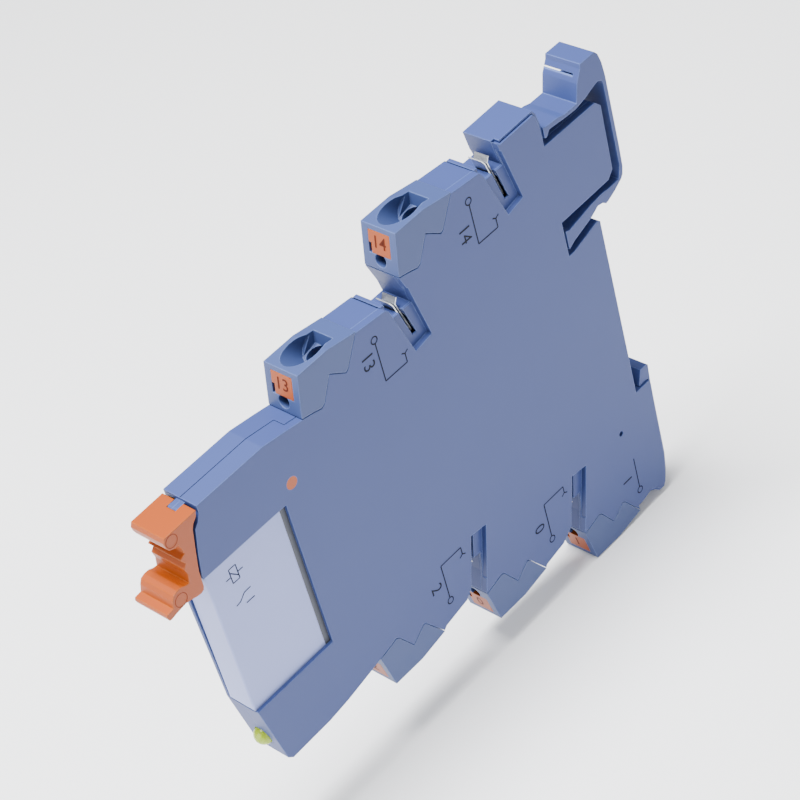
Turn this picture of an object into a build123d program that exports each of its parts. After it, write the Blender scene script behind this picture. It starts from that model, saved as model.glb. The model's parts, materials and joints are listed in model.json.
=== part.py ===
"""Slim rail-mounted relay module with a plug-in relay, in millimetres.

X is the thickness (the printed side faces +X), +Y points at the rail and Z is up.
The origin lies on the rail seat wall, at the middle of the rail and of the thickness.
"""

import os
from math import atan2, degrees

from build123d import *

os.makedirs("parts", exist_ok=True)

# housing
module_width = 6.2
half = module_width / 2
far_wall = 1.1
cover_wall = 1.2
seam_gap = 0.16
panel_seam = half - cover_wall
floor_x = -half + far_wall
front_end = -61.0
rim_x = 2.8

# rail
rail_half = 17.5
rail_play = 0.1
claw_top = -rail_half + 2.7

# plug-in relay
relay_length = 28.0
relay_depth = 15.0
relay_width = 5.0
relay_front = -80.35
relay_low = -11.0
relay_play = 0.15
relay_rear = relay_front + relay_depth
relay_top = relay_low + relay_length

# lever
pivot_y = -79.3
pivot_z = 24.7
pin_radius = 0.55
pin_play = 0.05
lug_half = 0.8
lug_radius = 0.7
lug_play = 0.06
arm_far = -2.4
arm_near = -1.2

# terminals: front corner of each head, and the side it opens to
terminals = {
    "upper_front": (-57.6, 31.35, 1),
    "upper_rear": (-36.25, 39.05, 1),
    "lower_front": (-57.6, -27.1, -1),
    "lower_middle": (-36.3, -33.3, -1),
    "lower_rear": (-15.05, -39.5, -1),
}
head_outline = [(-1.3, -6.35), (0, 0), (5.6, 0.05), (10.8, -0.85)]
key_outline = [
    (10.8, -0.85),
    (8.0, -4.95),
    (7.5, -5.25),
    (4.9, -3.45),
    (2.8, -6.85),
    (2.2, -7.2),
    (0.6, -6.75),
    (-1.3, -6.35),
]
body_half = 1.85
body_play = 0.08
body_low = -10.8
face_tilt = degrees(atan2(1.3, 6.35))
wire_radius = 1.6
test_radius = 1.0
mouth_half = 2.35
chute_run = 0.755
chute_fall = 0.656
bore_depth = 2.45
pusher_half = 1.92
pusher_top = -0.8
pusher_low = -4.21
pusher_play = 0.05
pusher_travel = 0.7
stem_half = 1.2
stem_top = -3.15
stem_end = 4.2

# small parts
led_y = -79.6
led_z = -18.5
led_radius = 1.5
led_play = 0.05
dot_y = -63.5
dot_z = 17.55
dot_radius = 0.95
board_near = 1.0
board_thick = 0.8


def key_line(name, drop):
    """Jigsaw seam under one terminal head, from front to rear, lowered by drop."""
    ref_y, ref_z, up = terminals[name]
    return [(ref_y + u, ref_z + up * (v - drop)) for u, v in reversed(key_outline)]


def side_plane(x):
    """Plane with y to the right and z up, at one place in the thickness."""
    return Plane.YZ.offset(x)


# the whole side outline of the case, clockwise from the front top corner
upper_edge = [
    (-78.05, 25.9),
    (-66.0, 26.0),
    (-61.5, 25.3),
    *key_line("upper_front", seam_gap),
    (-41.3, 29.8),
    (-40.7, 29.3),
    (-40.0, 27.0),
    (-35.95, 27.0),
    (-36.35, 29.1),
    *key_line("upper_rear", seam_gap),
    (-19.95, 37.5),
    (-19.35, 36.7),
    (-18.8, 35.0),
    (-14.7, 35.0),
    (-15.1, 36.3),
    (-15.6, 39.4),
    (-8.0, 39.6),
    (-7.4, 38.7),
    (-7.0, 36.5),
]
# snap foot: heights count from the upper edge of the rail
foot_shape = [
    (-6.5, 18.5),
    (-3.75, 18.3),
    (-2.5, 17.95),
    (0.2, 17.95),
    (1.0, 20.7),
    (2.1, 22.4),
    (2.3, 23.15),
    (5.4, 23.15),
    (5.95, 22.5),
    (6.4, 20.8),
    (6.6, 18.5),
    (6.6, 6.5),
    (6.5, 3.0),
    (6.2, 1.8),
    (5.8, 1.3),
    (4.0, 0.3),
    (2.5, -0.3),
    (1.9, -0.45),
    (1.2, rail_play),
    (0.2, 0.3),
    (-1.4, -0.5),
    (-5.5, -1.7),
    (-6.4, -2.4),
    (-6.0, -3.4),
    (-3.0, -2.6),
    (-0.5, -1.9),
    (0.0, -2.3),
]
foot_loop = [(y, rail_half + rise) for y, rise in foot_shape]
lower_edge = [
    (0.0, claw_top + 0.6),
    (-0.15, claw_top + 0.4),
    (-0.15, -rail_half - rail_play),
    (1.15, -rail_half - rail_play),
    (2.1, claw_top),
    (3.6, claw_top),
    (3.85, claw_top - 0.3),
    (3.65, -rail_half - 1.0),
    (3.6, -33.0),
    (3.2, -36.0),
    (2.6, -38.3),
    (2.1, -39.0),
    (0.9, -38.9),
    (0.0, -38.0),
    (-1.0, -37.4),
    (-3.0, -37.9),
    (-4.1, -38.0),
    *reversed(key_line("lower_rear", seam_gap)),
    (-15.35, -29.7),
    (-14.75, -26.2),
    (-17.85, -26.2),
    (-18.75, -29.4),
    (-21.0, -31.1),
    (-25.2, -31.9),
    *reversed(key_line("lower_middle", seam_gap)),
    (-36.6, -23.5),
    (-36.0, -20.0),
    (-39.1, -20.0),
    (-40.0, -23.2),
    (-41.4, -24.7),
    (-46.2, -25.6),
    *reversed(key_line("lower_front", seam_gap)),
    (-61.0, -21.1),
    (-66.0, -22.1),
    (-70.0, -22.6),
    (-77.6, -22.75),
    (-78.4, -22.0),
    (-80.3, -11.0),
    (-80.8, 16.0),
    (-80.2, 19.3),
    (-79.3, 22.9),
    (-78.6, 23.6),
    (-78.0, 24.7),
]
gap_shape = [
    (-6.5, 15.85),
    (-6.5, 16.9),
    (-5.8, 17.7),
    (-2.5, 17.4),
    (-0.25, 17.3),
    (2.0, 17.7),
    (4.0, 18.4),
    (5.0, 18.6),
    (5.75, 18.2),
    (5.95, 17.5),
    (5.95, 3.5),
    (5.3, 1.5),
    (3.0, 1.45),
    (1.5, 1.6),
    (-1.0, 1.4),
    (-3.0, 1.0),
    (-6.0, 0.45),
    (-6.5, 1.1),
    (-6.0, 2.6),
    (3.2, 2.8),
    (4.4, 3.9),
    (4.6, 14.8),
    (3.6, 15.85),
]
upper_gap = [(y, rail_half + rise) for y, rise in gap_shape]
# hollow of the case, kept a wall's thickness inside the outline
inside = [
    (-60.2, 23.4),
    (-56.8, 23.2),
    (-49.2, 24.9),
    (-46.6, 28.4),
    (-42.2, 28.6),
    (-40.9, 25.9),
    (-34.9, 25.9),
    (-35.2, 30.7),
    (-33.0, 30.7),
    (-28.0, 32.6),
    (-25.4, 36.3),
    (-20.4, 36.0),
    (-19.7, 33.9),
    (-13.6, 33.9),
    (-13.4, 38.2),
    (-8.4, 38.2),
    (-8.4, 13.4),
    (-1.4, 13.4),
    (-1.4, -19.0),
    (2.2, -19.0),
    (2.2, -33.0),
    (1.4, -36.4),
    (-3.4, -36.2),
    (-6.9, -33.0),
    (-12.9, -31.0),
    (-13.9, -31.0),
    (-13.5, -25.1),
    (-18.9, -25.1),
    (-20.0, -29.6),
    (-25.1, -30.6),
    (-28.1, -26.8),
    (-34.1, -24.8),
    (-35.0, -24.8),
    (-34.8, -18.9),
    (-40.2, -18.9),
    (-41.2, -22.4),
    (-46.4, -24.4),
    (-49.4, -20.6),
    (-55.4, -18.6),
    (-60.2, -18.6),
]
# near side of the snap foot, from its roots round the hook
foot_ring = [
    (-6.9, 36.2),
    *foot_loop[:22],
    (-6.9, 15.1),
    (-6.9, 18.2),
    *reversed(upper_gap[1:17]),
    (-6.9, 34.4),
]
# rear edge of the side cover, set in from the base so that a thin rim shows
cover_rear = [
    (-15.2, 38.95),
    (-8.25, 39.15),
    (-7.85, 38.5),
    (-7.45, 36.5),
    (-7.4, 33.35),
    (3.6, 33.35),
    (4.6, 32.3),
    (4.4, 21.4),
    (3.2, 20.3),
    (-7.3, 20.1),
    (-7.3, 14.1),
    (-6.0, 14.1),
    (-3.0, 14.9),
    (-0.5, 15.6),
    (0.0, 15.2),
    (0.0, -rail_half - rail_play),
    (3.1, -rail_half - rail_play),
    (3.4, -18.3),
    (3.15, -33.0),
    (2.75, -35.9),
    (2.2, -38.0),
    (1.8, -38.55),
    (1.05, -38.45),
    (0.2, -37.6),
    (-0.9, -36.95),
    (-3.0, -37.45),
    (-4.4, -37.6),
]
rim_top = [
    (-14.9, 39.42),
    (-8.0, 39.6),
    (-7.4, 38.7),
    (-7.0, 36.5),
    (-7.0, 34.4),
    (-7.28, 34.4),
    (-7.33, 36.5),
    (-7.72, 38.56),
    (-8.18, 39.27),
    (-14.9, 39.09),
]
rim_low = [
    (3.85, -15.1),
    (3.65, -18.5),
    (3.6, -33.0),
    (3.2, -36.0),
    (2.6, -38.3),
    (2.1, -39.0),
    (0.9, -38.9),
    (0.0, -38.0),
    (-1.0, -37.4),
    (-3.0, -37.9),
    (-4.1, -38.0),
    (-4.1, -37.72),
    (-3.0, -37.6),
    (-0.95, -37.08),
    (0.12, -37.72),
    (1.0, -38.57),
    (1.9, -38.67),
    (2.33, -38.06),
    (2.87, -35.92),
    (3.27, -33.0),
    (3.53, -18.28),
    (3.2, -17.4),
    (1.22, -17.4),
    (2.1, claw_top),
    (3.6, claw_top),
]
# bridge shafts: a shallow recess in the printed side with a deep slot in it
shafts = [
    [(-41.0, 30.3), (-38.1, 20.4), (-34.7, 20.9), (-36.6, 30.3)],
    [(-19.8, 38.0), (-16.5, 28.1), (-13.2, 28.8), (-15.2, 38.0)],
    [(-37.6, -15.0), (-40.3, -24.4), (-36.8, -24.4), (-34.4, -15.4)],
    [(-16.35, -21.2), (-19.05, -30.6), (-15.55, -30.6), (-13.15, -21.6)],
]
shaft_slots = [
    [(-38.75, 28.0), (-37.2, 22.2), (-36.4, 22.2), (-37.95, 28.0)],
    [(-17.3, 36.5), (-15.7, 29.9), (-14.9, 29.9), (-16.5, 36.5)],
    [(-38.4, -20.5), (-37.1, -15.6), (-36.4, -15.6), (-37.6, -20.5)],
    [(-17.15, -26.7), (-15.85, -21.8), (-15.15, -21.8), (-16.35, -26.7)],
]
shaft_depth = 0.9
bridge_far = -0.9
bridge_near = 1.5

bay_half = relay_width / 2 + 0.05
bay_low = relay_low - relay_play
bay_top = relay_top + relay_play
bay_rear = -59.9
window_low = -10.9
window_top = 15.2
arm_play = 0.1
arm_room = [
    (-82.0, 9.0),
    (-82.0, 25.0),
    (-62.6, 25.0),
    (-61.0, 23.2),
    (bay_rear, 20.0),
    (bay_rear, 9.0),
]
case_outline = [*upper_edge, *foot_loop, *lower_edge]
cover_outline = [*upper_edge[:-3], *cover_rear, *lower_edge[17:]]
body_outline = [
    (1.2, -5.5),
    (1.2, body_low),
    (10.4, body_low),
    (10.4, -5.5),
    (9.5, -5.5),
    (9.5, -3.2),
    (5.0, -2.5),
]
pocket_outline = [(1.1, -1.5), (1.1, body_low - 0.1), (9.6, body_low - 0.1), (9.6, -0.5)]


def terminal_plane(name, x=0.0):
    """Plane of one terminal: u runs to the rear, v out of the case, x as given."""
    ref_y, ref_z, up = terminals[name]
    return Plane(origin=(x, ref_y, ref_z), x_dir=(0, 1, 0), z_dir=(up, 0, 0))


def bay_cut(x0, x1):
    """Room of the relay between two places in the thickness."""
    with BuildPart() as bay:
        with BuildSketch(side_plane(x0)):
            Polygon(
                (-82.0, bay_low),
                (-82.0, bay_top),
                (bay_rear, bay_top),
                (bay_rear, bay_low),
                align=None,
            )
        extrude(amount=x1 - x0)
    return bay.part


def lug(x0, x1):
    """Half of the hinge lug with its pin stub, between two places in the thickness."""
    with BuildPart() as half_lug:
        with BuildSketch(side_plane(x0)):
            with Locations((pivot_y, pivot_z)):
                Circle(lug_radius)
            Polygon(
                (pivot_y, pivot_z - lug_radius),
                (-77.6, pivot_z - lug_radius),
                (-77.6, pivot_z + lug_radius),
                (pivot_y, pivot_z + lug_radius),
                align=None,
            )
        extrude(amount=x1 - x0)
    return half_lug.part


def pin_stub(x0, x1):
    """Length of the round hinge pin between two places in the thickness."""
    with BuildPart() as stub:
        with BuildSketch(side_plane(x0)):
            with Locations((pivot_y, pivot_z)):
                Circle(pin_radius)
        extrude(amount=x1 - x0)
    return stub.part


pin_reach = 2.2

with BuildPart() as base_housing:
    with BuildSketch(side_plane(-half)):
        Polygon(*case_outline, align=None)
        Polygon(*upper_gap, align=None, mode=Mode.SUBTRACT)
    extrude(amount=half + panel_seam)
    # in front the two shells meet at mid thickness
    with BuildSketch(side_plane(0)):
        with Locations((front_end - 15.0, 0)):
            Rectangle(30.0, 70.0)
    extrude(amount=half, mode=Mode.SUBTRACT)
    # snap foot and rim stand out to the printed side
    with BuildSketch(side_plane(panel_seam)):
        Polygon(*foot_ring, align=None)
    extrude(amount=half - panel_seam)
    with BuildSketch(side_plane(panel_seam)):
        Polygon(*rim_top, align=None)
        Polygon(*rim_low, align=None)
    extrude(amount=rim_x - panel_seam)
    # hollow for the board and the terminals
    with BuildSketch(side_plane(floor_x)):
        Polygon(*inside, align=None)
    extrude(amount=module_width, mode=Mode.SUBTRACT)
    for name in terminals:
        with BuildSketch(terminal_plane(name)):
            Polygon(*pocket_outline, align=None)
        extrude(amount=body_half + body_play, both=True, mode=Mode.SUBTRACT)
    # relay bay, with the slot that the ejector arm swings in
    add(bay_cut(-bay_half, half), mode=Mode.SUBTRACT)
    with BuildSketch(side_plane(arm_far - arm_play)):
        Polygon(*arm_room, align=None)
    extrude(amount=arm_near - arm_far + 2 * arm_play, mode=Mode.SUBTRACT)
    # LED bore in the lower front
    with BuildSketch(Plane.XZ.offset(85.0)):
        with Locations((0, led_z)):
            Circle(led_radius + led_play)
    extrude(amount=-(85.0 - 73.0), mode=Mode.SUBTRACT)
    with BuildSketch(Plane.XZ.offset(77.0)):
        with Locations((0, led_z)):
            Circle(led_radius + 0.45)
    extrude(amount=-(77.0 - 75.8), mode=Mode.SUBTRACT)
    # screwdriver slot of the snap foot, open to the front and to the far side
    with BuildSketch(side_plane(-half)):
        Polygon((0.6, 36.4), (4.8, 36.4), (4.8, 39.2), (1.6, 39.2), align=None)
    extrude(amount=half + 2.1, mode=Mode.SUBTRACT)
    # slots of the bridge contacts, through the floor of the open channels
    with BuildSketch(side_plane(bridge_far - 0.1)):
        for slot in shaft_slots:
            Polygon(*slot, align=None)
    extrude(amount=half, mode=Mode.SUBTRACT)
    add(lug(-lug_half, 0))
    add(pin_stub(-pin_reach, 0))
base_housing.part.label = "base_housing"
export_step(base_housing.part, "parts/base_housing.step")

with BuildPart() as side_cover:
    with BuildSketch(side_plane(panel_seam)):
        Polygon(*cover_outline, align=None)
    extrude(amount=half - panel_seam)
    # half shell round the relay bay, with the window in its side
    with BuildSketch(side_plane(0)):
        Polygon(*case_outline, align=None)
        with Locations((front_end + 50.0, 0)):
            Rectangle(100.0, 100.0, mode=Mode.SUBTRACT)
    extrude(amount=half)
    add(bay_cut(0, bay_half), mode=Mode.SUBTRACT)
    with BuildSketch(side_plane(bay_half)):
        Polygon(
            (-82.0, window_low),
            (-82.0, window_top),
            (-65.45, window_top),
            (-65.45, window_low),
            align=None,
        )
    extrude(amount=half, mode=Mode.SUBTRACT)
    with BuildSketch(side_plane(half)):
        for shaft in shafts:
            Polygon(*shaft, align=None)
    extrude(amount=-shaft_depth, mode=Mode.SUBTRACT)
    with BuildSketch(side_plane(half)):
        for slot in shaft_slots:
            Polygon(*slot, align=None)
    extrude(amount=-cover_wall, mode=Mode.SUBTRACT)
    with BuildSketch(Plane.XZ.offset(85.0)):
        with Locations((0, led_z)):
            Circle(led_radius + led_play)
    extrude(amount=-(85.0 - 73.0), mode=Mode.SUBTRACT)
    with BuildSketch(Plane.XZ.offset(77.0)):
        with Locations((0, led_z)):
            Circle(led_radius + 0.45)
    extrude(amount=-(77.0 - 75.8), mode=Mode.SUBTRACT)
    # seat of the marker dot and the small vent hole
    with BuildSketch(side_plane(half)):
        with Locations((dot_y, dot_z)):
            Circle(dot_radius)
    extrude(amount=-0.5, mode=Mode.SUBTRACT)
    with BuildSketch(side_plane(half)):
        with Locations((-4.8, -22.1)):
            Circle(0.45)
    extrude(amount=-cover_wall, mode=Mode.SUBTRACT)
    add(lug(0, lug_half))
    add(pin_stub(0, pin_reach))
side_cover.part.label = "side_cover"
export_step(side_cover.part, "parts/side_cover.step")

board_low = -14.5
board_top = 18.8
board_front = -59.0
board_rear = -10.0
board_far = board_near - board_thick
chamber_far = -1.5
chamber_low = -10.0
bar_half = 1.0
bar_thick = 0.4
tail_u = 6.2


def inward_plane(name):
    """Plane of one pusher: x runs into the case, y up the front face of the head."""
    ref_y, ref_z, up = terminals[name]
    tilt = Vector(0, 6.35, -1.3 * up).normalized()
    return Plane(origin=(0, ref_y, ref_z), x_dir=tilt, z_dir=(up, 0, 0))


def make_insert(name):
    """Terminal insert with wire funnel, pusher channel, test hole and clamp chamber."""
    ref_y, ref_z, up = terminals[name]
    slant = inward_plane(name)
    with BuildPart() as insert:
        with BuildSketch(terminal_plane(name)):
            Polygon(*head_outline, *key_outline[1:-1], align=None)
        extrude(amount=half, both=True)
        with BuildSketch(terminal_plane(name)):
            Polygon(*body_outline, align=None)
        extrude(amount=body_half, both=True)
        # funnel: a chute in front, a steep wall at the rear
        chute = Plane(
            origin=(0, ref_y + 2.2, ref_z + 1.75 * up),
            x_dir=(1, 0, 0),
            z_dir=(0, chute_run, -chute_fall * up),
        )
        with BuildSketch(chute.offset(-3.0)):
            Circle(mouth_half)
        extrude(amount=8.3, mode=Mode.SUBTRACT)
        with BuildSketch(terminal_plane(name)):
            Polygon((5.0, 0.6), (5.0, -2.9), (7.7, -2.3), (8.2, 0.6), align=None)
        extrude(amount=1.8, both=True, mode=Mode.SUBTRACT)
        mouth = (0, ref_y + 6.4, ref_z - 3.05 * up)
        with BuildSketch(Plane(origin=mouth, x_dir=(1, 0, 0), z_dir=(0, -0.5, 0.866 * up))):
            Circle(wire_radius)
        extrude(amount=-bore_depth, mode=Mode.SUBTRACT)
        with BuildSketch(Plane(origin=mouth, x_dir=(1, 0, 0), z_dir=(0, -0.5, 0.866 * up))):
            Circle(wire_radius)
        extrude(amount=2.0, mode=Mode.SUBTRACT)
        # channel of the pusher head and of its stem
        with BuildSketch(slant):
            Polygon(
                (-0.5, pusher_top + pusher_play),
                (0.5 + pusher_travel + pusher_play, pusher_top + pusher_play),
                (0.5 + pusher_travel + pusher_play, pusher_low - pusher_play),
                (-0.5, pusher_low - pusher_play),
                align=None,
            )
        extrude(amount=pusher_half + pusher_play, both=True, mode=Mode.SUBTRACT)
        with BuildSketch(slant):
            Polygon(
                (0.3, stem_top + pusher_play),
                (stem_end + pusher_travel + 0.2, stem_top + pusher_play),
                (stem_end + pusher_travel + 0.2, pusher_low - pusher_play),
                (0.3, pusher_low - pusher_play),
                align=None,
            )
        extrude(amount=stem_half + pusher_play, both=True, mode=Mode.SUBTRACT)
        with BuildSketch(terminal_plane(name)):
            Polygon((3.6, -4.6), (4.8, -4.6), (5.3, -6.0), (5.3, -6.7), (3.6, -6.7), align=None)
        extrude(amount=stem_half + pusher_play, both=True, mode=Mode.SUBTRACT)
        start = slant.from_local_coords((-1.0, -5.0, 0))
        with BuildSketch(Plane(origin=start, x_dir=(1, 0, 0), z_dir=slant.x_dir)):
            Circle(test_radius)
        extrude(amount=4.6, mode=Mode.SUBTRACT)
        # clamp chamber, open to the cover
        with BuildSketch(terminal_plane(name, chamber_far)):
            Polygon(
                (3.4, -6.6),
                (3.4, chamber_low),
                (9.95, chamber_low),
                (9.95, -6.3),
                (9.35, -5.7),
                (9.35, -4.95),
                (8.92, -4.42),
                (6.22, -5.97),
                (5.0, -6.6),
                align=None,
            )
        extrude(amount=up * (body_half - chamber_far), mode=Mode.SUBTRACT)
        # slot for the tail of the current bar
        with BuildSketch(terminal_plane(name)):
            with Locations((tail_u, chamber_low - 0.5)):
                Rectangle(bar_thick + 0.2, 1.4)
        extrude(amount=bar_half + 0.1, both=True, mode=Mode.SUBTRACT)
    return insert.part


def make_pusher(name):
    """Release pusher: a flat head in the front face with a stem towards the clamp."""
    up = terminals[name][2]
    slant = inward_plane(name)
    with BuildPart() as pusher:
        with BuildSketch(slant):
            Polygon((0, pusher_top), (0.5, pusher_top), (0.5, pusher_low), (0, pusher_low), align=None)
        extrude(amount=pusher_half, both=True)
        # notch in the lower far corner
        with BuildSketch(slant.offset(-up * (pusher_half + 0.1))):
            Polygon((-0.1, pusher_low - 0.1), (0.4, pusher_low - 0.1), (0.4, -2.7), (-0.1, -2.7), align=None)
        extrude(amount=up * 0.6, mode=Mode.SUBTRACT)
        with BuildSketch(slant):
            Polygon((0.4, stem_top), (stem_end, stem_top), (stem_end, pusher_low), (0.4, pusher_low), align=None)
        extrude(amount=stem_half, both=True)
    return pusher.part


def make_clamp(name):
    """Bent strip spring of one terminal."""
    with BuildPart() as clamp:
        with BuildSketch(terminal_plane(name)):
            with BuildLine():
                Polyline((4.1, -9.3), (3.9, -7.2), (4.3, -6.1), (5.1, -6.95), (7.1, -8.9))
            trace(line_width=0.3)
        extrude(amount=0.9, both=True)
    return clamp.part


def make_bar(name):
    """Current bar under the clamp, with its tail down to the circuit board."""
    ref_y, ref_z, up = terminals[name]
    edge = board_top if up > 0 else -board_low
    reach = abs(ref_z) - edge + 1.6
    with BuildPart() as bar:
        with BuildSketch(terminal_plane(name, board_far)):
            with BuildLine():
                Polyline((9.6, -8.0), (9.6, -9.7), (4.6, -9.7))
            trace(line_width=bar_thick)
            with Locations((tail_u, -(9.6 + reach) / 2)):
                Rectangle(bar_thick, reach - 9.6)
        extrude(amount=-up * (board_far + bar_half))
    return bar.part


for name in terminals:
    insert = make_insert(name)
    insert.label = "insert_" + name
    export_step(insert, f"parts/insert_{name}.step")
    pusher = make_pusher(name)
    pusher.label = "pusher_" + name
    export_step(pusher, f"parts/pusher_{name}.step")
    clamp = make_clamp(name)
    clamp.label = "clamp_" + name
    export_step(clamp, f"parts/clamp_{name}.step")
    bar = make_bar(name)
    bar.label = "bar_" + name
    export_step(bar, f"parts/bar_{name}.step")


def make_bridge(slot, up):
    """Pair of contact leaves in one bridge shaft, flared towards its mouth."""
    outer = Vector(slot[0]) * 0.5 + Vector(slot[3]) * 0.5
    inner = Vector(slot[1]) * 0.5 + Vector(slot[2]) * 0.5
    with BuildPart() as bridge:
        with BuildSketch(side_plane(bridge_far)):
            for side in (-1, 1):
                with BuildLine():
                    Polyline(
                        (inner.X + 0.2 * side, inner.Y + 0.3 * up),
                        (outer.X + 0.2 * side, outer.Y),
                        (outer.X + 0.7 * side, outer.Y + 0.8 * up),
                    )
                trace(line_width=0.16)
            # web that joins the two leaves at their root
            with Locations((inner.X, inner.Y + 0.3 * up)):
                Rectangle(0.5, 0.16)
        extrude(amount=bridge_near - bridge_far)
    return bridge.part


for number, slot in enumerate(shaft_slots, 1):
    bridge = make_bridge(slot, 1 if number < 3 else -1)
    bridge.label = f"bridge_{number}"
    export_step(bridge, f"parts/bridge_{number}.step")

lever_outline = [
    (-78.35, 25.45),
    (-84.0, 25.3),
    (-84.3, 24.6),
    (-84.2, 23.9),
    (-83.9, 23.15),
    (-83.0, 22.8),
    (-82.4, 22.8),
    (-82.0, 21.0),
    (-82.9, 20.5),
    (-82.35, 19.5),
    (-82.9, 18.95),
    (-82.65, 17.8),
    (-82.9, 16.5),
    (-83.55, 16.6),
    (-84.2, 16.9),
    (-85.05, 16.9),
    (-85.7, 16.65),
    (-86.1, 15.95),
    (-86.4, 14.9),
    (-87.5, 14.8),
    (-87.65, 14.35),
    (-87.45, 13.75),
    (-87.0, 13.7),
    (-86.2, 13.9),
    (-84.4, 14.15),
    (-83.6, 14.0),
    (-82.5, 13.7),
    (-81.8, 13.6),
    (-81.3, 13.8),
    (-81.1, 14.3),
    (-81.05, 16.0),
    (-81.0, 17.0),
    (-80.6, 19.0),
    (-79.7, 23.2),
    (-79.35, 23.9),
    (-78.6, 24.6),
]
arm_outline = [
    (-80.5, 22.6),
    (-80.5, 24.2),
    (-63.4, 24.2),
    (-61.9, 23.0),
    (-60.4, 16.0),
    (-60.2, 10.9),
    (-61.35, 10.9),
    (-64.1, 15.7),
    (-63.3, 22.0),
    (-64.2, 22.6),
]

with BuildPart() as lever:
    with BuildSketch(side_plane(0)):
        Polygon(*lever_outline, align=None)
    extrude(amount=half, both=True)
    with BuildSketch(side_plane(arm_far)):
        Polygon(*arm_outline, align=None)
    extrude(amount=arm_near - arm_far)
    # slot for the hinge lug, and the holes of its pin
    with BuildSketch(side_plane(0)):
        with Locations((pivot_y, pivot_z)):
            Circle(lug_radius + 0.15)
        Polygon((pivot_y - 0.4, 22.4), (-77.0, 22.4), (-77.0, 26.5), (pivot_y - 0.4, 26.5), align=None)
    extrude(amount=lug_half + lug_play, both=True, mode=Mode.SUBTRACT)
    with BuildSketch(side_plane(0)):
        with Locations((pivot_y, pivot_z)):
            Circle(pin_radius + pin_play)
    extrude(amount=pin_reach + 0.05, both=True, mode=Mode.SUBTRACT)
lever.part.label = "lever"
export_step(lever.part, "parts/lever.step")

# plug-in relay
cap_wall = 0.4
base_thick = 1.0
pin_x = 0.4
pin_thick = 0.5
pin_wide = 1.0
pin_length = 4.0
pin_heights = [-8.6, -5.6, 2.6, 7.2, 11.8]
relay_mid = (relay_low + relay_top) / 2
cap_rear = relay_rear - base_thick
coil_y = relay_front + 4.75
coil_low = -8.6
coil_high = 5.2
core_radius = 0.9

with BuildPart() as relay_cap:
    with BuildSketch(side_plane(-relay_width / 2)):
        with Locations(((relay_front + cap_rear) / 2, relay_mid)):
            Rectangle(cap_rear - relay_front, relay_length)
    extrude(amount=relay_width)
    fillet(relay_cap.edges().group_by(Axis.Y)[0], 0.3)
    with BuildSketch(side_plane(-relay_width / 2 + cap_wall)):
        with Locations(((relay_front + cap_rear) / 2 + cap_wall, relay_mid)):
            Rectangle(cap_rear - relay_front, relay_length - 2 * cap_wall)
    extrude(amount=relay_width - 2 * cap_wall, mode=Mode.SUBTRACT)
relay_cap.part.label = "relay_cap"
export_step(relay_cap.part, "parts/relay_cap.step")

with BuildPart() as relay_base:
    with BuildSketch(Plane.XZ.offset(-cap_rear)):
        with Locations((0, relay_mid)):
            Rectangle(relay_width, relay_length)
    extrude(amount=-base_thick)
    # stand-off bumps, and the bores that the pins are pressed into
    with BuildSketch(Plane.XZ.offset(-relay_rear)):
        with Locations((-1.6, -8.0), (1.6, -8.0), (1.6, 12.0)):
            Circle(0.5)
    extrude(amount=-0.2)
    with BuildSketch(Plane.XZ.offset(-cap_rear)):
        with Locations(*[(pin_x, height) for height in pin_heights]):
            Rectangle(pin_thick, pin_wide)
    extrude(amount=-base_thick, mode=Mode.SUBTRACT)
relay_base.part.label = "relay_base"
export_step(relay_base.part, "parts/relay_base.step")

with BuildPart() as relay_pins:
    with BuildSketch(Plane.XZ.offset(-cap_rear + 0.8)):
        with Locations(*[(pin_x, height) for height in pin_heights]):
            Rectangle(pin_thick, pin_wide)
    extrude(amount=-(base_thick + pin_length + 0.8))
relay_pins.part.label = "relay_pins"
export_step(relay_pins.part, "parts/relay_pins.step")

with BuildPart() as bobbin:
    with BuildSketch(Plane.XY.offset(coil_low)):
        with Locations((0, coil_y)):
            Rectangle(3.8, 5.4)
    extrude(amount=0.7)
    with BuildSketch(Plane.XY.offset(coil_high - 0.7)):
        with Locations((0, coil_y)):
            Rectangle(3.8, 5.4)
    extrude(amount=0.7)
    with BuildSketch(Plane.XY.offset(coil_low)):
        with Locations((0, coil_y)):
            Circle(core_radius + 0.4)
    extrude(amount=coil_high - coil_low)
    with BuildSketch(Plane.XY.offset(coil_low)):
        with Locations((0, coil_y)):
            Circle(core_radius)
    extrude(amount=coil_high - coil_low, mode=Mode.SUBTRACT)
bobbin.part.label = "bobbin"
export_step(bobbin.part, "parts/bobbin.step")

with BuildPart() as winding:
    with BuildSketch(Plane.XY.offset(coil_low + 0.7)):
        with Locations((0, coil_y)):
            RectangleRounded(3.5, 4.9, 1.2)
            Circle(core_radius + 0.4, mode=Mode.SUBTRACT)
    extrude(amount=coil_high - coil_low - 1.4)
winding.part.label = "winding"
export_step(winding.part, "parts/winding.step")

with BuildPart() as core:
    with BuildSketch(Plane.XY.offset(coil_low - 0.6)):
        with Locations((0, coil_y)):
            Circle(core_radius)
    extrude(amount=coil_high - coil_low + 0.7)
    with BuildSketch(Plane.XY.offset(coil_high + 0.1)):
        with Locations((0, coil_y)):
            RectangleRounded(3.2, 4.0, 0.6)
    extrude(amount=0.5)
core.part.label = "core"
export_step(core.part, "parts/core.step")

# yoke: under the coil and up behind it
with BuildPart() as yoke:
    with BuildSketch(side_plane(-1.9)):
        Polygon(
            (coil_y - 3.0, -10.2),
            (coil_y + 4.4, -10.2),
            (coil_y + 4.4, 5.9),
            (coil_y + 3.6, 5.9),
            (coil_y + 3.6, -9.25),
            (coil_y - 3.0, -9.25),
            align=None,
        )
    extrude(amount=3.8)
yoke.part.label = "yoke"
export_step(yoke.part, "parts/yoke.step")

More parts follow.
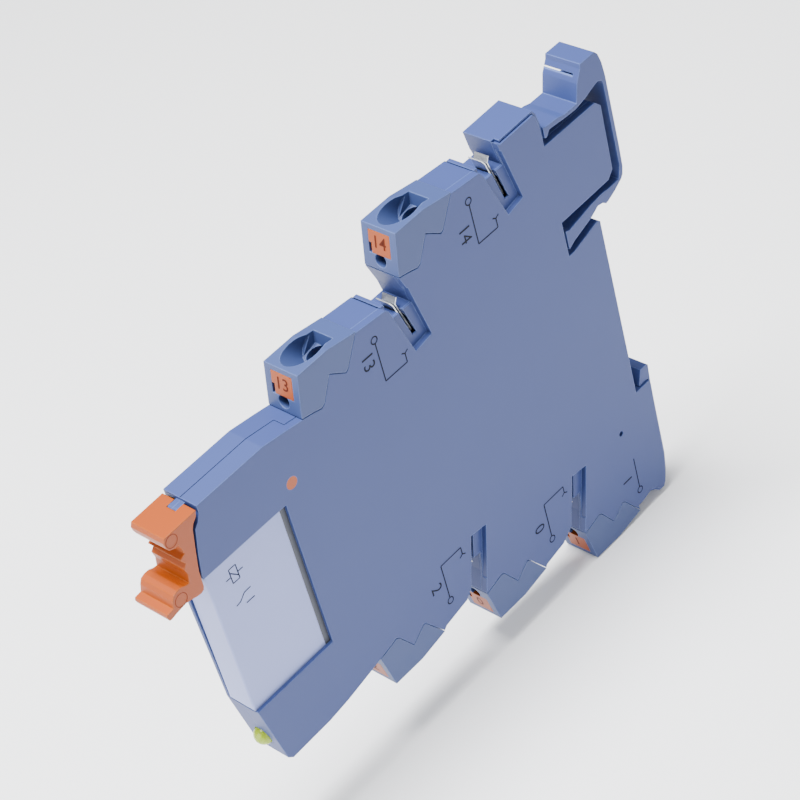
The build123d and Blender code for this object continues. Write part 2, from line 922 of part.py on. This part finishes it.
# armature: rocks on the upper edge of the yoke, above the pole
with BuildPart() as armature:
    with BuildSketch(side_plane(-1.8)):
        Polygon(
            (coil_y - 2.7, 6.55),
            (coil_y + 4.3, 6.0),
            (coil_y + 4.3, 6.8),
            (coil_y - 2.7, 7.35),
            align=None,
        )
    extrude(amount=3.6)
    with BuildSketch(side_plane(-1.2)):
        Polygon(
            (coil_y - 2.6, 7.2),
            (coil_y - 1.6, 7.2),
            (coil_y - 1.6, 12.1),
            (coil_y - 2.6, 12.1),
            align=None,
        )
    extrude(amount=2.4)
armature.part.label = "armature"
export_step(armature.part, "parts/armature.step")


def contact_strip(points, rivet_y):
    """Contact spring from one pin towards the front, with a rivet near its end."""
    with BuildPart() as strip:
        with BuildSketch(side_plane(-1.0)):
            with BuildLine():
                Polyline(*points)
            trace(line_width=0.25)
        extrude(amount=2.0)
        with BuildSketch(Plane.XY.offset(points[-1][1] - 0.35)):
            with Locations((0, rivet_y)):
                Circle(0.7)
        extrude(amount=0.7)
    return strip.part


strip_start = cap_rear - 0.9
strips = {
    "contact_open": [
        (strip_start, 2.6),
        (coil_y + 5.0, 2.6),
        (coil_y + 4.8, 9.4),
        (coil_y + 4.2, 10.0),
        (coil_y + 0.8, 10.0),
    ],
    "contact_moving": [
        (strip_start, 7.2),
        (coil_y + 6.4, 7.2),
        (coil_y + 5.9, 12.3),
        (coil_y - 3.4, 12.3),
    ],
    "contact_closed": [
        (strip_start, 11.8),
        (coil_y + 7.0, 11.8),
        (coil_y + 6.2, 13.25),
        (coil_y + 0.8, 13.25),
    ],
}
for strip_name, points in strips.items():
    strip = contact_strip(points, coil_y + 1.8)
    strip.label = strip_name
    export_step(strip, f"parts/{strip_name}.step")

# circuit board on its posts, with its parts
with BuildPart() as circuit_board:
    with BuildSketch(side_plane(board_far)):
        Polygon(
            (board_front, board_low),
            (board_rear, board_low),
            (board_rear, board_top),
            (board_front, board_top),
            align=None,
        )
        with Locations((-57.0, -12.0), (-12.0, -12.0), (-12.0, 16.5), (-57.0, 16.5)):
            Circle(0.6, mode=Mode.SUBTRACT)
    extrude(amount=board_thick)
circuit_board.part.label = "circuit_board"
export_step(circuit_board.part, "parts/circuit_board.step")

with BuildPart() as chips:
    with BuildSketch(side_plane(board_near)):
        with Locations((-30.0, 0)):
            with GridLocations(4.2, 9.0, 6, 2):
                Rectangle(2.0, 1.2)
    extrude(amount=0.6)
chips.part.label = "chips"
export_step(chips.part, "parts/chips.step")

with BuildPart() as rectifier:
    with BuildSketch(side_plane(board_far)):
        with Locations((-46.0, -4.0)):
            RectangleRounded(6.4, 5.0, 0.4)
    extrude(amount=-1.8)
rectifier.part.label = "rectifier"
export_step(rectifier.part, "parts/rectifier.step")

with BuildPart() as capacitor:
    with BuildSketch(side_plane(board_far)):
        with Locations((-24.0, -6.0)):
            RectangleRounded(11.0, 4.0, 0.8)
    extrude(amount=-1.9)
capacitor.part.label = "capacitor"
export_step(capacitor.part, "parts/capacitor.step")

# socket of the relay pins: moulded block with one fork contact for each pin
socket_front = -65.0
socket_rear = -60.6
socket_far = -0.8
socket_near = 1.7
with BuildPart() as relay_socket:
    with BuildSketch(side_plane(socket_far)):
        Polygon(
            (socket_front, -10.4),
            (socket_rear, -10.4),
            (socket_rear, 13.6),
            (socket_front, 13.6),
            align=None,
        )
    extrude(amount=socket_near - socket_far)
    with BuildSketch(Plane.XZ.offset(-socket_front)):
        with Locations(*[(pin_x, height) for height in pin_heights]):
            Rectangle(pin_thick + 0.9, pin_wide + 0.3)
    extrude(amount=-(socket_rear - socket_front), mode=Mode.SUBTRACT)
relay_socket.part.label = "relay_socket"
export_step(relay_socket.part, "parts/relay_socket.step")


def make_fork(height):
    """Fork contact round one relay pin, with its tail on the circuit board."""
    with BuildPart() as fork:
        with BuildSketch(Plane.XY.offset(height)):
            with BuildLine():
                Polyline((-0.05, -64.6), (-0.05, -57.6))
            trace(line_width=0.25)
            with BuildLine():
                Polyline((0.85, -64.6), (0.85, -60.9), (-0.05, -60.9))
            trace(line_width=0.25)
        extrude(amount=0.5, both=True)
    return fork.part


for number, height in enumerate(pin_heights, 1):
    fork = make_fork(height)
    fork.label = f"fork_{number}"
    export_step(fork, f"parts/fork_{number}.step")

# LED: dome through the lower front, collar behind the wall
with BuildPart() as led:
    with BuildSketch(side_plane(0)):
        with BuildLine():
            Line((led_y - 0.75, led_z), (-74.0, led_z))
            Polyline((-74.0, led_z), (-74.0, led_z + led_radius), (-75.9, led_z + led_radius))
            Polyline(
                (-75.9, led_z + led_radius),
                (-75.9, led_z + led_radius + 0.4),
                (-76.9, led_z + led_radius + 0.4),
                (-76.9, led_z + led_radius),
                (led_y + 0.75, led_z + led_radius),
            )
            RadiusArc((led_y + 0.75, led_z + led_radius), (led_y - 0.75, led_z), -led_radius)
        make_face()
    revolve(axis=Axis((0, 0, led_z), (0, 1, 0)))
led.part.label = "led"
export_step(led.part, "parts/led.step")

with BuildPart() as marker_dot:
    with BuildSketch(side_plane(half - 0.5)):
        with Locations((dot_y, dot_z)):
            Circle(dot_radius)
    extrude(amount=0.5)
marker_dot.part.label = "marker_dot"
export_step(marker_dot.part, "parts/marker_dot.step")
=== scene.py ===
import json
import math

import bmesh
import bpy
from mathutils import Matrix, Vector


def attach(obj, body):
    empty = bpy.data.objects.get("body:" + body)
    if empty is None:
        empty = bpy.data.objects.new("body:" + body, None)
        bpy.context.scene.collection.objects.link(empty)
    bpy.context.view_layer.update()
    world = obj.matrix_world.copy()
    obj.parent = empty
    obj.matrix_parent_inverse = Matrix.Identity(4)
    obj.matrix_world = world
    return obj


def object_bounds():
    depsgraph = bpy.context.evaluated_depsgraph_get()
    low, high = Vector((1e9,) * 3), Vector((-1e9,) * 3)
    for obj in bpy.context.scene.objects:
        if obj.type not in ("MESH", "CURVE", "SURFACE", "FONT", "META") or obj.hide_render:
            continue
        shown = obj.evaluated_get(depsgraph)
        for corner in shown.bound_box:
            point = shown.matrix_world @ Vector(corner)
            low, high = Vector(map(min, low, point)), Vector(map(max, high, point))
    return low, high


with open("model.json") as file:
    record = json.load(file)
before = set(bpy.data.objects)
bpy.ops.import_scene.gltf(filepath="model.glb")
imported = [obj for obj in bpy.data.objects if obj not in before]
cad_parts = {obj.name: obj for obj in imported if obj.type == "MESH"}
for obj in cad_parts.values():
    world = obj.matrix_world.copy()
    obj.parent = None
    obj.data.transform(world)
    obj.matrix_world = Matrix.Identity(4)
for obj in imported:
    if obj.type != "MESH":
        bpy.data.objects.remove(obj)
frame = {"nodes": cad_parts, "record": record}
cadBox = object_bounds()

millimetre = 0.001
nodes = frame["nodes"]

# sizes that several pieces share, in millimetres; the other sizes stand beside their pieces
halfWidth = 3.1     # from the middle of the case to its printed side
relayHalf = 2.5     # the same for the relay
printLift = 0.02    # how far ink stands off the face that carries it


# linear colour from an sRGB hex code
def linear(hexCode):
    channels = []
    for start in (0, 2, 4):
        value = int(hexCode[start:start + 2], 16) / 255
        channels.append(value / 12.92 if value <= 0.04045 else ((value + 0.055) / 1.055) ** 2.4)
    return (*channels, 1.0)


# adds one shader node with its settings and with what feeds its inputs
def addNode(material, kind, place, feeds=None, **settings):
    tree = material.node_tree
    node = tree.nodes.new(kind)
    node.location = place
    for name, value in settings.items():
        node.inputs[name.replace("_", " ")].default_value = value
    for name, source in (feeds or {}).items():
        tree.links.new(source, node.inputs[name])
    return node


# a material with its shader, whose even values are given by name
def newMaterial(name, **settings):
    material = bpy.data.materials.new(name)
    material.use_nodes = True
    material.node_tree.nodes.clear()
    shader = addNode(material, "ShaderNodeBsdfPrincipled", (300, 0), **settings)
    addNode(material, "ShaderNodeOutputMaterial", (600, 0), {"Surface": shader.outputs["BSDF"]})
    return material, shader


mouldedLook = {
    "specular": 0.35,
    "driftSize": 9.0,            # mm between a lighter and a darker place
    "driftRange": (0.97, 1.03),
    "grainSize": 0.12,           # mm, coarser than the mould's real grain so that it shows
    "grainDepth": 0.02,          # mm
    "grainStrength": 0.12,
    "edgeRadius": 0.22,          # mm
    "edgeFade": (0.995, 0.80),   # cosines between which an edge turns paler
    "edgeShare": 0.9,
}


# moulded plastic: slight drift of tone, eroded grain of the mould, rounded edges, and a painted
# highlight that makes these edges paler
def mouldedPlastic(name, hexCode, edgeHighlightHex, roughness):
    look = mouldedLook
    material, shader = newMaterial(name, Roughness=roughness, Specular_IOR_Level=look["specular"])
    links = material.node_tree.links
    coords = addNode(material, "ShaderNodeTexCoord", (-1100, 0)).outputs["Object"]
    drift = addNode(material, "ShaderNodeTexNoise", (-900, 200), {"Vector": coords},
                    Scale=1 / (look["driftSize"] * millimetre), Detail=2.0)
    tone = addNode(material, "ShaderNodeMapRange", (-700, 200), {"Value": drift.outputs["Fac"]},
                   To_Min=look["driftRange"][0], To_Max=look["driftRange"][1])
    tint = addNode(material, "ShaderNodeHueSaturation", (-450, 250),
                   {"Value": tone.outputs["Result"]}, Color=linear(hexCode))
    # an edge shows where the rounded normal leaves the face's own normal; there a painted highlight
    # turns the colour paler, standing in for light caught by the rounding
    rounded = addNode(material, "ShaderNodeBevel", (-900, -350),
                      Radius=look["edgeRadius"] * millimetre)
    face = addNode(material, "ShaderNodeNewGeometry", (-900, -550))
    cosine = addNode(material, "ShaderNodeVectorMath", (-700, -450),
                     {0: rounded.outputs["Normal"], 1: face.outputs["Normal"]})
    cosine.operation = "DOT_PRODUCT"
    # painted highlight: how far each rounded edge turns to the paler edge colour
    highlightMask = addNode(material, "ShaderNodeMapRange", (-500, -450), {"Value": cosine.outputs["Value"]},
                   From_Min=look["edgeFade"][0], From_Max=look["edgeFade"][1],
                   To_Max=look["edgeShare"])
    # a colour mix has its factor at socket 0, its colours at 6 and 7, and its result at 2
    mix = addNode(material, "ShaderNodeMix", (-150, 150))
    mix.data_type = "RGBA"
    mix.inputs[7].default_value = linear(edgeHighlightHex)
    links.new(highlightMask.outputs["Result"], mix.inputs[0])
    links.new(tint.outputs["Color"], mix.inputs[6])
    links.new(mix.outputs[2], shader.inputs["Base Color"])
    grain = addNode(material, "ShaderNodeTexNoise", (-900, -50), {"Vector": coords},
                    Scale=1 / (look["grainSize"] * millimetre), Detail=3.0)
    bump = addNode(material, "ShaderNodeBump", (0, -250),
                   {"Height": grain.outputs["Fac"], "Normal": rounded.outputs["Normal"]},
                   Strength=look["grainStrength"], Distance=look["grainDepth"] * millimetre)
    links.new(bump.outputs["Normal"], shader.inputs["Normal"])
    return material


# a fine noise that moves the roughness a little each way
def breakUpGloss(material, shader, pattern, grainSize, lowest, highest):
    grain = addNode(material, "ShaderNodeTexNoise", (-500, 0), {"Vector": pattern},
                    Scale=1 / (grainSize * millimetre), Detail=2.0)
    spread = addNode(material, "ShaderNodeMapRange", (-250, 0), {"Value": grain.outputs["Fac"]},
                     To_Min=lowest, To_Max=highest)
    material.node_tree.links.new(spread.outputs["Result"], shader.inputs["Roughness"])


plainLook = {
    "grainSize": 0.4,            # mm, unevenness of a smooth mould or a brushed-on coat
    "smoother": 0.05,
    "rougher": 0.08,
}


# smooth plastic, lacquer, ink or paper, with an even colour
def plainFinish(name, hexCode, roughness, **settings):
    look = plainLook
    material, shader = newMaterial(name, Base_Color=linear(hexCode), **settings)
    coords = addNode(material, "ShaderNodeTexCoord", (-700, 0)).outputs["Object"]
    breakUpGloss(material, shader, coords, look["grainSize"],
                 roughness - look["smoother"], roughness + look["rougher"])
    return material


metalLook = {
    "grainSize": 0.08,           # mm, rolling marks drawn as coarse as they need to show
    "stretch": (1.0, 0.08, 1.0),  # drawn out along Y
    "smoother": 0.06,
    "rougher": 0.1,
}


# stamped strip metal with fine rolling marks
def stampedMetal(name, hexCode, roughness):
    look = metalLook
    material, shader = newMaterial(name, Base_Color=linear(hexCode), Metallic=1.0)
    coords = addNode(material, "ShaderNodeTexCoord", (-900, 0)).outputs["Object"]
    stretch = addNode(material, "ShaderNodeMapping", (-700, 0), {"Vector": coords},
                      Scale=look["stretch"])
    breakUpGloss(material, shader, stretch.outputs["Vector"], look["grainSize"],
                 roughness - look["smoother"], roughness + look["rougher"])
    return material


# the codes are darker than the object looks, because the studio light lifts them
finishes = {
    # polyamide from an eroded mould: matt blue, with a painted highlight that makes rounded edges
    # paler
    "housing": mouldedPlastic("HousingPolyamide", "313F72", "5A6FA8", 0.5),
    "cover": mouldedPlastic("CoverPolyamide", "313F72", "5A6FA8", 0.5),
    # the terminal heads: the same plastic, a shade greyer and a little smoother
    "insert": mouldedPlastic("TerminalPolyamide", "33426F", "5E72A6", 0.48),
    # orange plastic that fingers and screwdrivers touch, with a soft sheen
    "pusher": mouldedPlastic("PusherPlastic", "8E3C00", "B05A0C", 0.45),
    "lever": mouldedPlastic("LeverPlastic", "8E3C00", "B05A0C", 0.42),
    # printed or lacquered dot, flat and even
    "marker": plainFinish("MarkerInk", "964000", 0.5),
    # pale thin-walled plastic of the relay's cap, with a soft sheen
    "relay_cap": mouldedPlastic("RelayCapPlastic", "8A94C4", "B4BBDC", 0.42),
    # dark base plastic with an even, dull shine
    "relay_base": plainFinish("RelayBasePlastic", "3A3D46", 0.5),
    # tin over brass: pale and bright, streaked from rolling
    "relay_pins": stampedMetal("TinnedPin", "C4C3BE", 0.3),
    # black filled plastic of the coil former
    "bobbin": plainFinish("BobbinPlastic", "2A2C30", 0.5),
    # lacquered copper wire: warm and half bright
    "winding": stampedMetal("CopperWire", "B4622F", 0.35),
    # annealed iron of core, yoke and armature: grey and dull
    "iron": stampedMetal("SoftIron", "9A9C9E", 0.4),
    # bronze strip of the contact springs: brownish and bright
    "contact": stampedMetal("ContactBronze", "C8965A", 0.3),
    # tinned forks in the bridge shafts, the brightest metal in sight
    "bridge": stampedMetal("TinnedBridge", "C9CCD2", 0.28),
    # bright drawn steel of the clamps
    "spring": stampedMetal("SpringSteel", "B9BCC0", 0.25),
    # copper bars under a thin coat of tin
    "bar": stampedMetal("TinnedCopper", "B87B45", 0.35),
    # green lacquer of the circuit board, smooth and shiny
    "board": plainFinish("SolderMask", "2F6B45", 0.35),
    # black cast resin, dull
    "chip": plainFinish("ChipResin", "26282B", 0.5),
    # shrunk plastic sleeve, half shiny
    "capacitor": plainFinish("CapacitorSleeve", "3B3F4A", 0.4),
    # dark plastic of the relay's socket
    "socket": plainFinish("SocketPlastic", "2C2F36", 0.5),
    # yellow-green cast lens: glossy, and light spreads inside it
    "led": plainFinish("LedLens", "8DA30C", 0.25, Subsurface_Weight=0.25,
                       Subsurface_Radius=(0.001, 0.001, 0.0005)),
}
# inks and drawn shadow lines hardly shine, so that they stay dark from all sides
inkGloss = 0.1
printInk = plainFinish("PrintInk", "0C101C", 0.55, Specular_IOR_Level=inkGloss)
digitInk = plainFinish("DigitInk", "4E1A06", 0.55, Specular_IOR_Level=inkGloss)
seamShade = plainFinish("SeamShadow", "10182E", 0.7, Specular_IOR_Level=inkGloss)
markShade = plainFinish("LeverMark", "6A2200", 0.5, Specular_IOR_Level=inkGloss)

for part in frame["record"]["subparts"]:
    obj = nodes[part["node"]]
    isBridge = part["node"].startswith("bridge")
    finish = finishes["bridge" if isBridge else part["material_slot"]]
    if not obj.material_slots:
        obj.data.materials.append(finish)
    for slotHolder in obj.material_slots:
        slotHolder.material = finish
print("materials done")


# steps of a curve in a digit, and of a whole ring: enough for print of this size
printSteps = {"curve": 3, "ring": 24}


# turns a bmesh into a named mesh
def takeMesh(bm, name):
    mesh = bpy.data.meshes.new(name)
    bm.to_mesh(mesh)
    bm.free()
    return mesh


# puts a finished mesh in the scene, on its body and with its finish
def newPiece(name, mesh, material, body):
    obj = bpy.data.objects.new(name, mesh)
    bpy.context.collection.objects.link(obj)
    obj.data.materials.clear()
    obj.data.materials.append(material)
    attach(obj, body)


# flat words in the plane of two directions, centred on a place in mm
def printedWords(name, words, height, place, across, upward, material, body, thicker=0.0):
    curve = bpy.data.curves.new(name + "Curve", "FONT")
    curve.body = words
    curve.size = height * millimetre
    curve.align_x = "CENTER"
    curve.align_y = "CENTER"
    curve.offset = thicker * millimetre
    curve.resolution_u = printSteps["curve"]
    source = bpy.data.objects.new(name + "Source", curve)
    bpy.context.collection.objects.link(source)
    bpy.context.view_layer.update()
    graph = bpy.context.evaluated_depsgraph_get()
    mesh = bpy.data.meshes.new_from_object(source.evaluated_get(graph))
    bpy.data.objects.remove(source)
    across = Vector(across).normalized()
    upward = Vector(upward).normalized()
    turn = Matrix((across, upward, across.cross(upward))).transposed().to_4x4()
    mesh.transform(Matrix.Translation(Vector(place) * millimetre) @ turn)
    mesh.name = name
    newPiece(name, mesh, material, body)


# a flat strip in mm, drawn out from its short end; side reaches from its middle line to its rim
def addStrip(bm, start, end, side):
    corners = [bm.verts.new((start + way * side) * millimetre) for way in (-1, 1)]
    grown = bmesh.ops.extrude_edge_only(bm, edges=[bm.edges.new(corners)])
    moved = [item for item in grown["geom"] if isinstance(item, bmesh.types.BMVert)]
    bmesh.ops.translate(bm, verts=moved, vec=(end - start) * millimetre)


# turns flat faces so that they look to the open side
def faceOutwards(bm, outward):
    bm.normal_update()
    turned = [face for face in bm.faces if face.normal.dot(outward) < 0]
    bmesh.ops.reverse_faces(bm, faces=turned)


# lines on a face that looks to +X: strokes are runs of (y, z), rings are (y, z, radius), in mm
def printedLines(name, strokes, rings, width, faceX, material, body):
    bm = bmesh.new()
    sideward = Vector((1, 0, 0))
    inkX = faceX + printLift
    for stroke in strokes:
        places = [Vector((inkX, y, z)) for y, z in stroke]
        for start, end in zip(places, places[1:]):
            addStrip(bm, start, end, (end - start).cross(sideward).normalized() * width / 2)
    for y, z, radius in rings:
        rim = [bm.verts.new(Vector((inkX, y + reach, z)) * millimetre)
               for reach in (radius - width / 2, radius + width / 2)]
        bmesh.ops.spin(bm, geom=[*rim, bm.edges.new(rim)], cent=Vector((inkX, y, z)) * millimetre,
                       axis=sideward, angle=math.tau, steps=printSteps["ring"], use_merge=True)
    faceOutwards(bm, sideward)
    newPiece(name, takeMesh(bm, name), material, body)


# each terminal: the outer corner of its head's front, up (1 on top and -1 below), its number,
# and the symbol beside it, with a ring, the height at which the lead turns, and the lead's tip;
# places are (y, z) in mm
terminals = {
    "upper_front": {
        "corner": (-57.6, 31.35), "up": 1, "number": "13", "numberAt": (-46.3, 24.8),
        "ring": (-44.3, 27.1), "turnAt": 20.0, "tip": (-40.0, 21.5),
    },
    "upper_rear": {
        "corner": (-36.25, 39.05), "up": 1, "number": "14", "numberAt": (-24.9, 30.7),
        "ring": (-22.9, 34.9), "turnAt": 27.7, "tip": (-18.9, 29.2),
    },
    "lower_front": {
        "corner": (-57.6, -27.1), "up": -1, "number": "2", "numberAt": (-46.2, -18.2),
        "ring": (-44.3, -22.1), "turnAt": -15.2, "tip": (-40.0, -16.5),
    },
    "lower_middle": {
        "corner": (-36.3, -33.3), "up": -1, "number": "0", "numberAt": (-25.0, -24.7),
        "ring": (-23.0, -28.4), "turnAt": -21.4, "tip": (-18.6, -22.6),
    },
    "lower_rear": {
        "corner": (-15.05, -39.5), "up": -1, "number": "1", "numberAt": (-5.7, -31.2),
        "ring": (-3.4, -34.9), "turnAt": -28.4, "tip": None,
    },
}

# plain numbers on the printed side and on the pushers, in mm
numberPrint = {
    "sideHeight": 3.0,
    "pusherHeight": 2.6,
    "pusherThicker": 0.02,       # fuller strokes, so that they hold on orange
    "headLean": 1.3,             # how far the front of a head leans out on its fall
    "headFall": 6.35,
    "downTheFront": 2.45,        # from the corner to the middle of the pusher
}
for name, terminal in terminals.items():
    printedWords("side_number_" + name, terminal["number"], numberPrint["sideHeight"],
                 (halfWidth + printLift, *terminal["numberAt"]),
                 (0, 0, -1), (0, 1, 0), printInk, "housing")
    lean, fall, up = numberPrint["headLean"], numberPrint["headFall"], terminal["up"]
    slope = Vector((0, -lean, -fall * up)).normalized()
    outward = Vector((0, -fall, lean * up)).normalized()
    corner = Vector((0, *terminal["corner"]))
    middle = corner + slope * numberPrint["downTheFront"] + outward * printLift
    printedWords("pusher_number_" + name, terminal["number"], numberPrint["pusherHeight"], middle,
                 (1, 0, 0), outward.cross((1, 0, 0)), digitInk, "pusher_" + name,
                 numberPrint["pusherThicker"])

# contact symbols: a ring for the terminal, its lead, and a fork where the relay's contact meets it
contactSymbol = {
    "lineWidth": 0.2,
    "ringRadius": 0.55,
    "prongAcross": 0.6,          # from the tip to the end of a prong
    "prongBack": 0.35,
}
for name, terminal in terminals.items():
    ringY, ringZ = terminal["ring"]
    turnZ = terminal["turnAt"]
    toward = 1 if turnZ > ringZ else -1
    radius = contactSymbol["ringRadius"]
    lead = [(ringY, ringZ + toward * radius), (ringY, turnZ)]
    strokes = [lead]
    if terminal["tip"]:
        tipY, tipZ = terminal["tip"]
        across = contactSymbol["prongAcross"]
        backZ = tipZ - toward * contactSymbol["prongBack"]
        lead += [(tipY, turnZ), (tipY, tipZ)]
        strokes.append([(tipY - across, backZ), (tipY, tipZ), (tipY + across, backZ)])
    printedLines("contact_symbol_" + name, strokes, [(ringY, ringZ, radius)],
                 contactSymbol["lineWidth"], halfWidth, printInk, "housing")

# circuit symbols on the relay: its coil with two leads, and the open contact
relaySymbols = {
    "strokes": [
        # the coil, its front and rear leads, and its slash
        [(-76.6, 12.8), (-76.6, 10.35), (-75.35, 10.35), (-75.35, 12.8), (-76.6, 12.8)],
        [(-77.5, 11.5), (-76.6, 11.5)],
        [(-75.35, 11.5), (-74.4, 11.5)],
        [(-76.6, 12.2), (-75.35, 10.9)],
        # the moving and the fixed side of the contact
        [(-74.3, 7.8), (-75.5, 7.75), (-76.5, 6.9), (-77.3, 6.75)],
        [(-74.2, 5.95), (-75.7, 5.95)],
    ],
    "lineWidth": 0.16,
}
printedLines("relay_symbols", relaySymbols["strokes"], [], relaySymbols["lineWidth"], relayHalf,
             printInk, "relay")

# round ejector marks on the ends of the lever's two finger lobes
ejectorMarks = {"rings": [(-83.1, 24.15, 0.95), (-84.85, 15.2, 1.0)], "lineWidth": 0.1}
printedLines("ejector_marks", [], ejectorMarks["rings"], ejectorMarks["lineWidth"], halfWidth,
             markShade, "lever")
print("print done")

# fine shadow line where the two halves of the case meet along the top, in mm
caseSeam = {
    "run": [(0, -78.0, 25.9), (0, -66.0, 26.0), (0, -61.5, 25.3), (0, -61.0, 25.21),
            (1.9, -61.0, 25.21), (1.9, -58.92, 24.85)],
    "width": 0.12,
    "fall": (0, 0.965, -0.26),   # of the case where the seam goes straight across
}
# each upper shaft has a dark strip of painted shadow where a narrow slot's shade falls, and a thin
# moulded lip behind it; the steps in y and z lead from the front shaft to each
upperShafts = {"upper_front": (0, 0), "upper_rear": (21.35, 7.7)}
shaftLip = {
    "nearEnd": 1.85,             # the painted slot shadow and the lip run from the far side to here
    "slotShadowMiddle": (-41.17, 29.69),   # (y, z) of its middle line at the front shaft
    "slotShadowHalf": (0.19, -0.16),       # from there to its rim
    "profile": [(-40.96, 29.2), (-40.96, 29.62), (-40.3, 29.62), (-40.2, 27.8), (-40.6, 28.8)],
    "rounding": 0.06,
}
bm = bmesh.new()
seamRun = [Vector(place) for place in caseSeam["run"]]
for start, end in zip(seamRun, seamRun[1:]):
    along = (end - start).normalized()
    fall = Vector((0, along.y, along.z)) if along.y else Vector(caseSeam["fall"])
    lift = Vector((0, -fall.z, fall.y)).normalized() * printLift
    side = along.cross(lift).normalized() * caseSeam["width"] / 2
    addStrip(bm, start + lift, end + lift, side)
# painted shadow: a dark strip on each shaft's bevel, in place of a slot's shade
for stepY, stepZ in upperShafts.values():
    shadowY, shadowZ = shaftLip["slotShadowMiddle"]
    start = Vector((-halfWidth, shadowY + stepY, shadowZ + stepZ + printLift))
    end = Vector((shaftLip["nearEnd"], start.y, start.z))
    addStrip(bm, start, end, Vector((0, *shaftLip["slotShadowHalf"])))
faceOutwards(bm, Vector((0, 0, 1)))
newPiece("case_seam", takeMesh(bm, "case_seam"), seamShade, "housing")
print("seam done")

for shaft, (stepY, stepZ) in upperShafts.items():
    bm = bmesh.new()
    base = bm.faces.new([bm.verts.new(Vector((-halfWidth, y + stepY, z + stepZ)) * millimetre)
                         for y, z in shaftLip["profile"]])
    grown = bmesh.ops.extrude_face_region(bm, geom=[base])
    moved = [item for item in grown["geom"] if isinstance(item, bmesh.types.BMVert)]
    bmesh.ops.translate(bm, verts=moved,
                        vec=((halfWidth + shaftLip["nearEnd"]) * millimetre, 0, 0))
    bmesh.ops.recalc_face_normals(bm, faces=bm.faces)
    bmesh.ops.bevel(bm, geom=list(bm.edges), offset=shaftLip["rounding"] * millimetre,
                    affect="EDGES", segments=2, profile=0.5, material=-1)
    newPiece("lip_" + shaft, takeMesh(bm, "lip_" + shaft), finishes["housing"],
             "housing")
print("lips done")

# the photograph's view: place in mm, and the directions of the view and of its right side
photoCamera = {
    "place": (207.035, -197.285, 228.189),
    "view": (-0.61312, 0.46396, -0.63940),
    "right": (0.72219, 0.65723, -0.21561),
    "focalLength": 112.29,
    "sensorWidth": 36,           # mm, as the focal length
    "nearClip": 0.01,            # metres
}
camera = bpy.data.cameras.new("PhotoCamera")
camera.sensor_width = photoCamera["sensorWidth"]
camera.lens = photoCamera["focalLength"]
camera.clip_start = photoCamera["nearClip"]
cameraObject = bpy.data.objects.new("PhotoCamera", camera)
bpy.context.collection.objects.link(cameraObject)
view = Vector(photoCamera["view"]).normalized()
right = Vector(photoCamera["right"]).normalized()
upward = right.cross(view)
turn = Matrix((right, upward, -view)).transposed().to_4x4()
cameraObject.matrix_world = Matrix.Translation(Vector(photoCamera["place"]) * millimetre) @ turn
bpy.context.scene.camera = cameraObject
print("camera done")

# soft boxes round the part: place and size in mm, power in watts
studioLights = {
    "KeyLight": {"place": (-40, -110, 460), "size": 220, "power": 8.5},
    "FillLight": {"place": (420, -60, 160), "size": 320, "power": 0.85},
    "FrontLight": {"place": (-60, -460, 120), "size": 300, "power": 1.6},
}
lightTarget = (0, -40, 0)        # mm, about the middle of the case
for name, box in studioLights.items():
    light = bpy.data.lights.new(name, "AREA")
    light.shape = "SQUARE"
    light.size = box["size"] * millimetre
    light.energy = box["power"]
    lamp = bpy.data.objects.new(name, light)
    bpy.context.collection.objects.link(lamp)
    lamp.location = Vector(box["place"]) * millimetre
    aim = Vector(lightTarget) * millimetre - lamp.location
    lamp.rotation_euler = aim.to_track_quat("-Z", "Y").to_euler()

worldLight = {"colour": (1, 1, 1, 1), "strength": 0.55}
world = bpy.data.worlds.new("StudioWorld")
bpy.context.scene.world = world
world.use_nodes = True
background = world.node_tree.nodes["Background"]
background.inputs["Color"].default_value = worldLight["colour"]
background.inputs["Strength"].default_value = worldLight["strength"]

# plain pale paper just under the part, in metres
studioFloor = {"reach": 3.0, "gap": 0.0002}
bm = bmesh.new()
bmesh.ops.create_grid(bm, x_segments=1, y_segments=1, size=studioFloor["reach"])
bmesh.ops.translate(bm, verts=bm.verts, vec=(0, 0, cadBox[0][2] - studioFloor["gap"]))
floorMesh = takeMesh(bm, "StudioFloor")
floorMesh.materials.append(plainFinish("StudioPaper", "F4F5F7", 0.8))
floorObject = bpy.data.objects.new("StudioFloor", floorMesh)
bpy.context.collection.objects.link(floorObject)
print("stage done")
